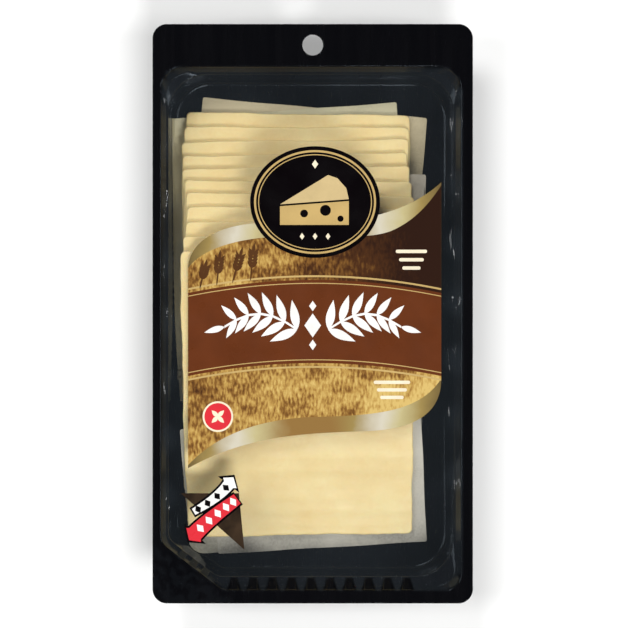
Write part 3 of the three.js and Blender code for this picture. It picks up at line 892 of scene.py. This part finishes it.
gold_finish, tree, shader = start_ink("gold_ink", Roughness=0.3)
sweep_share = axis_share(tree, "X", LABEL_LEFT, LABEL_RIGHT)
gold_shift = combine(tree, "ADD", sweep_share, spread(tree, noise(tree, 8), -0.015, 0.015))
gold_stops = [
    (0, GOLD_DEEP),
    (0.08, GOLD_MID),
    (0.19, GOLD_LIGHT),
    (0.27, GOLD_PALE),
    (0.4, GOLD_AMBER),
    (0.56, GOLD_AMBER),
    (0.66, GOLD_MID),
    (0.76, GOLD_LIGHT),
    (0.84, GOLD_PALE),
    (0.92, GOLD_MID),
    (1, GOLD_DEEP),
]
paint(tree, shader, gold_shift, gold_stops)
panel_low = [(LABEL_LEFT, -59.5), (-25, -46.5), (-2, -46), (20, -45.2), (40, -44.6)]
panel_low += [(LABEL_RIGHT, -38), (LABEL_RIGHT, -25)]
panel_high = [(LABEL_RIGHT, 50.6), (33, 35.5), (8, 34), (-20, 35), (-38, 34)]
panel_high += [(LABEL_LEFT, 27), (LABEL_LEFT, 17)]
add_print("label_gold_panel", [swept(panel_low) + swept(panel_high)], LABEL_Z, gold_finish, LABEL_BASE_T)

field_finish, tree, shader = start_ink("grained_ink", Roughness=0.3, Specular_IOR_Level=0.2)
fine_grain = noise(tree, 0.9, stretch=(1, 2.6, 1), detail=8)
patches = noise(tree, 7, stretch=(1.8, 1, 1), detail=6)
dusk = combine(tree, "MULTIPLY", axis_share(tree, "X", -12, 42), axis_share(tree, "Y", -18, 8))
liveliness = combine(tree, "MULTIPLY_ADD", dusk, -1.1, 1.5)
grain = combine(tree, "MULTIPLY_ADD", combine(tree, "ADD", fine_grain, patches), 0.5, -0.5)
grain = combine(tree, "MULTIPLY_ADD", grain, liveliness, 0.5)
grain = combine(tree, "MULTIPLY_ADD", dusk, -0.5, grain)
lit_corner = combine(tree, "MULTIPLY", axis_share(tree, "X", 8, 40), axis_share(tree, "Y", -20, -34))
grain = combine(tree, "MULTIPLY_ADD", lit_corner, 0.24, grain)
field_stops = [
    (0.06, colour(42, 22, 13)),
    (0.26, colour(72, 42, 20)),
    (0.42, colour(128, 88, 40)),
    (0.56, colour(180, 142, 74)),
    (0.72, colour(208, 178, 106)),
]
paint(tree, shader, grain, field_stops)
field_low = [(FIELD_LEFT, -58.3), (-38, -47.5), (-22, -40.5), (0.5, -39.7), (22, -39.2), (41, -38.5)]
field_low.append((FIELD_RIGHT, -25))
field_high = [(FIELD_RIGHT, 49.4), (45, 42.5), (39, 35.5), (30, 31.8), (20, 28), (0, 30.6), (-20, 29.2)]
field_high += [(-37, 27.3), (-45, 22), (FIELD_LEFT, 17.5)]
add_print("label_grained_field", [swept(field_low) + swept(field_high)], FIELD_Z, field_finish)


def bowed_stripe(low_y, width):
    """A stripe across the label that bows upward."""
    across = np.linspace(FIELD_LEFT, FIELD_RIGHT, 48)
    middle = (LABEL_LEFT + LABEL_RIGHT) / 2
    rise = BAND_BOW * (1 - ((across - middle) / (across[-1] - middle)) ** 2)
    low = np.stack([across, low_y + rise], axis=1)
    return np.concatenate([low, low[::-1] + (0, width)])


brown_ink = ink_finish("brown_ink", colour(99, 49, 22))
add_print("label_brown_band", [bowed_stripe(BAND_LOW_Y, BAND_HIGH_Y - BAND_LOW_Y)], BAND_Z, brown_ink)
line_gold = ink_finish("line_gold_ink", colour(196, 166, 106))
outer_lows = (BAND_LOW_Y - BAND_LINE_GAP - BAND_LINE_W, BAND_HIGH_Y + BAND_LINE_GAP)
inner_lows = (BAND_LOW_Y + BAND_LINE_GAP, BAND_HIGH_Y - BAND_LINE_GAP - FINE_LINE_W)
add_print("label_gold_lines", [bowed_stripe(y, BAND_LINE_W) for y in outer_lows], BAND_Z, line_gold)
add_print("label_inner_lines", [bowed_stripe(y, FINE_LINE_W) for y in inner_lows], ORNAMENT_Z, line_gold)

# The label's ornaments are printed over its colours: a garland of white leaves with three lozenges on the
# band, and on the fields four ears of grain in sepia ink, six cream bars, and a red disc with a star.
OVERLAP_STEP = 0.002
GARLAND_X = 6
GARLAND_Y = -6
GARLAND_L = 28
GARLAND_RISE = 6
GARLAND_ARCH = 0.95
GARLAND_LEAVES = 6
FIRST_LEAN = 34
LEAN_CHANGE = -44
TIP_LEAN = -16
LEAF_SIDES = (46, -58)
LEAF_L = 11.5
LEAF_W = 3.4
LAST_LEAF_SHARE = 0.65
TIP_LEAF_SHARE = 0.7
STEM_W = 0.9
BAND_LOZENGES = [(0, -4.5, 3.2, 4.6), (0, 3, 1.4, 2), (0, -12, 1.4, 2)]
BAR_STACKS = [(38, 24, 12, 3.2), (30.5, -26.4, 14, 2.9)]
BARS_IN_STACK = 3
BAR_W = 1.3
BAR_SHRINK = 2.5
EARS = [(-43.5, 9.6, 76, 9), (-37, 10.6, 84, 11.5), (-31, 11.6, 74, 12), (-24, 12.4, 84, 12.5)]
EAR_GRAINS = 5
EAR_START_SHARE = 0.42
EAR_END_SHARE = 0.82
EAR_TIP_SHARE = 0.88
GRAIN_L = 3.4
GRAIN_W = 1.1
GRAIN_TURN = 36
STALK_SHARE = 0.7
STALK_W = 0.7
RED_DISC_X = -36.5
RED_DISC_Y = -39.6
RED_DISC_R = 5.2
RED_RIM_W = 0.7
STAR_TURNS = (45, 135, 225, 315)


def leaf(x, y, angle, length, width, steps=12):
    """A pointed leaf that grows from a place, at an angle in degrees."""
    shares = np.linspace(0, 1, steps + 1)
    low = np.stack([shares * length, -width / 2 * np.sin(math.pi * shares**0.8)], axis=1)
    sides = np.concatenate([low, (low * (1, -1))[-2:0:-1]])
    cos, sin = math.cos(math.radians(angle)), math.sin(math.radians(angle))
    return sides @ np.array([[cos, sin], [-sin, cos]]) + (x, y)


def half_garland():
    """The garland's right half: leaves that get smaller outward, on both sides of a thin stem."""
    outlines = []
    stem = []
    for share in np.linspace(0, 1, GARLAND_LEAVES + 1):
        x = GARLAND_X + GARLAND_L * share
        y = GARLAND_Y + GARLAND_RISE * math.sin(GARLAND_ARCH * math.pi * share)
        stem.append((x, y))
        if share < 1:
            size = 1 + (LAST_LEAF_SHARE - 1) * share
            angles = [FIRST_LEAN + LEAN_CHANGE * share + side for side in LEAF_SIDES]
            outlines += [leaf(x, y, angle, LEAF_L * size, LEAF_W * size) for angle in angles]
    low = np.array(stem) - (0, STEM_W / 2)
    outlines.append(np.concatenate([low, low[::-1] + (0, STEM_W)]))
    outlines.append(leaf(*stem[-1], TIP_LEAN, LEAF_L * TIP_LEAF_SHARE, LEAF_W * TIP_LEAF_SHARE))
    return outlines


def lozenge(x, y, half_w, half_h):
    return np.array([(x, y - half_h), (x + half_w, y), (x, y + half_h), (x - half_w, y)])


def ear(x, y, angle, length):
    """A printed ear on its stalk, which grows from a place at an angle in degrees."""
    reach = length * np.array([math.cos(math.radians(angle)), math.sin(math.radians(angle))])
    outlines = [leaf(x, y, angle, length * STALK_SHARE, STALK_W)]
    for share in np.linspace(EAR_START_SHARE, EAR_END_SHARE, EAR_GRAINS):
        for side in (GRAIN_TURN, -GRAIN_TURN):
            outlines.append(leaf(*((x, y) + reach * share), angle + side, GRAIN_L, GRAIN_W))
    outlines.append(leaf(*((x, y) + reach * EAR_TIP_SHARE), angle, length=4, width=1.2))
    return outlines


white_ink = ink_finish("white_ink", colour(244, 242, 238))
right_half = half_garland()
left_half = [(outline * (-1, 1))[::-1] for outline in right_half]
add_print("label_garland_left", left_half, ORNAMENT_Z, white_ink, step=OVERLAP_STEP)
add_print("label_garland_right", right_half, ORNAMENT_Z, white_ink, step=OVERLAP_STEP)
add_print("label_diamonds", [lozenge(*place) for place in BAND_LOZENGES], ORNAMENT_Z, white_ink)

cream_ink = ink_finish("cream_ink", colour(240, 228, 200))
bars = []
for x, y, length, pitch in BAR_STACKS:
    for row in range(BARS_IN_STACK):
        bar = rounded_rectangle(length - BAR_SHRINK * row, BAR_W, BAR_W * 0.45, steps=1)
        bars.append(bar + (x, y - pitch * row))
add_print("label_cream_bars", bars, BAND_Z, cream_ink)

sepia_ink = ink_finish("sepia_ink", colour(84, 52, 26))
ears = [outline for place in EARS for outline in ear(*place)]
add_print("label_stalks", ears, BAND_Z, sepia_ink, step=OVERLAP_STEP / 4)

red_ink = ink_finish("red_ink", colour(214, 48, 58))
red_disc = circle(RED_DISC_X, RED_DISC_Y, RED_DISC_R)
red_rim = circle(RED_DISC_X, RED_DISC_Y, RED_DISC_R + RED_RIM_W)
red_star = [leaf(RED_DISC_X, RED_DISC_Y, turn, length=3.4, width=1.7) for turn in STAR_TURNS]
add_print("label_red_rim", [red_rim], BAND_Z, cream_ink, holes=[[red_disc]])
add_print("label_red_disc", [red_disc], BAND_Z, red_ink)
add_print("label_red_star", red_star, ORNAMENT_Z, cream_ink, step=OVERLAP_STEP)

# The medallion is the upper part of the same label, over the panel's upper edge: a black oval with two
# gold rims, and on it a wedge of cheese in gold ink and four small cream lozenges.
MEDALLION_X = 0.9
MEDALLION_Y = 43
MEDALLION_W = 50
MEDALLION_L = 43
RIMS = ((1.5, 0.8), (3.1, 0.35))
WEDGE_FRONT = [(-13.5, -8.8), (13, -8.8), (13, 0.4), (-13.5, -1.6)]
WEDGE_TOP = [(-13.5, -0.9), (13, 1.1), (12, 5.4), (8.6, 9.2), (5, 10.4)]
WEDGE_HOLES = [(-4.2, -4.4, 1.5), (4, -3.2, 2.1), (9.8, -6.4, 1.2)]
OVAL_LOZENGES = [(-5, -13.2, 0.9, 1.3), (0, -13.2, 0.9, 1.3), (5, -13.2, 0.9, 1.3), (0, 14.6, 1.2, 1.7)]


def placed(points):
    """Places that are given from the medallion's middle, as places in the pack."""
    return np.array(points) + (MEDALLION_X, MEDALLION_Y)


def oval(inset):
    return placed(circle(0, 0, 1, 96) * (MEDALLION_W / 2 - inset, MEDALLION_L / 2 - inset))


black_ink = ink_finish("black_ink", colour(6, 3, 5), roughness=0.24)
add_print("label_medallion", [oval(0)], LABEL_Z, black_ink, ORNAMENT_Z - LABEL_Z)
rims = [oval(inset) for inset, _ in RIMS]
rim_holes = [[oval(inset + width)] for inset, width in RIMS]
add_print("label_medallion_rims", rims, ORNAMENT_Z, line_gold, holes=rim_holes)
wedge_holes = [placed(circle(*hole, 24)) for hole in WEDGE_HOLES]
add_print("label_wedge_front", [placed(WEDGE_FRONT)], ORNAMENT_Z, line_gold, holes=[wedge_holes])
pale_gold = ink_finish("pale_gold_ink", colour(206, 182, 132))
add_print("label_wedge_top", [placed(WEDGE_TOP)], ORNAMENT_Z, pale_gold)
oval_marks = [placed(lozenge(*place)) for place in OVAL_LOZENGES]
add_print("label_medallion_marks", oval_marks, ORNAMENT_Z, cream_ink)

# The opening mark is a small label stuck beside the corner that peels: a dark triangle, a white arrow that
# points the way the film is peeled back, and a red one that points back to where it is pressed shut.
MARK_T = 0.08
ARROW_Z = LABEL_Z + MARK_T + INK_T
MARK_TRIANGLE = [(-50.8, -69.1), (-26.3, -90.9), (-28.4, -69.1)]
ARROW_HEAD_L = 4.2
ARROW_OUTLINE = 0.8
HEAD_INSET = 2.4
TIP_INSET = 1.3
SIGNS_START = 0.14
SIGNS_END = 0.74
ARROWS = [
    {
        "name": "mark_out",
        "knots": [(-46.4, -76.6), (-41.3, -73.6), (-33.2, -69), (-30.1, -62)],
        "widths": (4.2, 6, 10.4),
        "ink": white_ink,
        "sign_ink": black_ink,
        "signs": (4, 1.3, 1.7),
    },
    {
        "name": "mark_back",
        "knots": [(-28.7, -71), (-32.4, -73.8), (-43, -81), (-48.2, -88)],
        "widths": (6, 7.8, 11.6),
        "ink": red_ink,
        "sign_ink": white_ink,
        "signs": (5, 1.4, 2),
    },
]


def on_path(arrow, share):
    """The place at a share of an arrow's path, and the path's direction there."""
    knots = np.array(arrow["knots"])
    rest = 1 - share
    slope = np.dot((rest**2, 2 * rest * share, share**2), knots[1:] - knots[:-1])
    return bent(knots, share), slope / np.linalg.norm(slope)


def arrow_outline(arrow, inset=0, steps=12):
    """The outline of an arrow, drawn in by an inset. Its widths are those of tail, neck and head."""
    tail_w, neck_w, head_w = arrow["widths"]
    length = math.dist(arrow["knots"][0], arrow["knots"][-1])
    head_share = 1 - ARROW_HEAD_L / length
    left, right = [], []
    for step in range(steps + 1):
        share = inset / length + (head_share - inset / length) * step / steps
        at, along = on_path(arrow, share)
        across = np.array((-along[1], along[0]))
        half = (tail_w + (neck_w - tail_w) * step / steps) / 2 - inset
        left.append(at + across * half)
        right.append(at - across * half)
    half_head = head_w / 2 - inset * HEAD_INSET
    left.append(at + along * inset + across * half_head)
    right.append(at + along * inset - across * half_head)
    tip, along = on_path(arrow, 1)
    return [*right, tip - along * inset * TIP_INSET, *left[::-1]]


def signs_along(arrow):
    """Small lozenges in a row along an arrow."""
    count, half_w, half_h = arrow["signs"]
    signs = []
    for share in np.linspace(SIGNS_START, SIGNS_END, count):
        at, along = on_path(arrow, share)
        turn = np.array([along, (-along[1], along[0])])
        signs.append(lozenge(0, 0, half_w, half_h) @ turn + at)
    return signs


mark_finish, tree, shader = start_ink("dark_brown_ink", Roughness=0.3, Specular_IOR_Level=0.2)
paint(tree, shader, noise(tree, 7, detail=4), [(0.3, colour(26, 17, 10)), (0.7, colour(60, 45, 31))])
add_print("mark_triangle", [MARK_TRIANGLE], LABEL_Z, mark_finish, MARK_T, node="opening_mark")
for number, arrow in enumerate(ARROWS):
    name = arrow["name"]
    outline = arrow_outline(arrow)
    inner = arrow_outline(arrow, ARROW_OUTLINE)
    edge_t = ARROW_Z - LABEL_Z + number * OVERLAP_STEP
    add_print(f"{name}_edge", [outline], LABEL_Z, black_ink, edge_t, node="opening_mark")
    add_print(f"{name}_arrow", [inner], ARROW_Z, arrow["ink"], node="opening_mark")
for arrow in ARROWS:
    signs_name = arrow["name"] + "_signs"
    add_print(signs_name, signs_along(arrow), ARROW_Z + INK_T, arrow["sign_ink"], node="opening_mark")
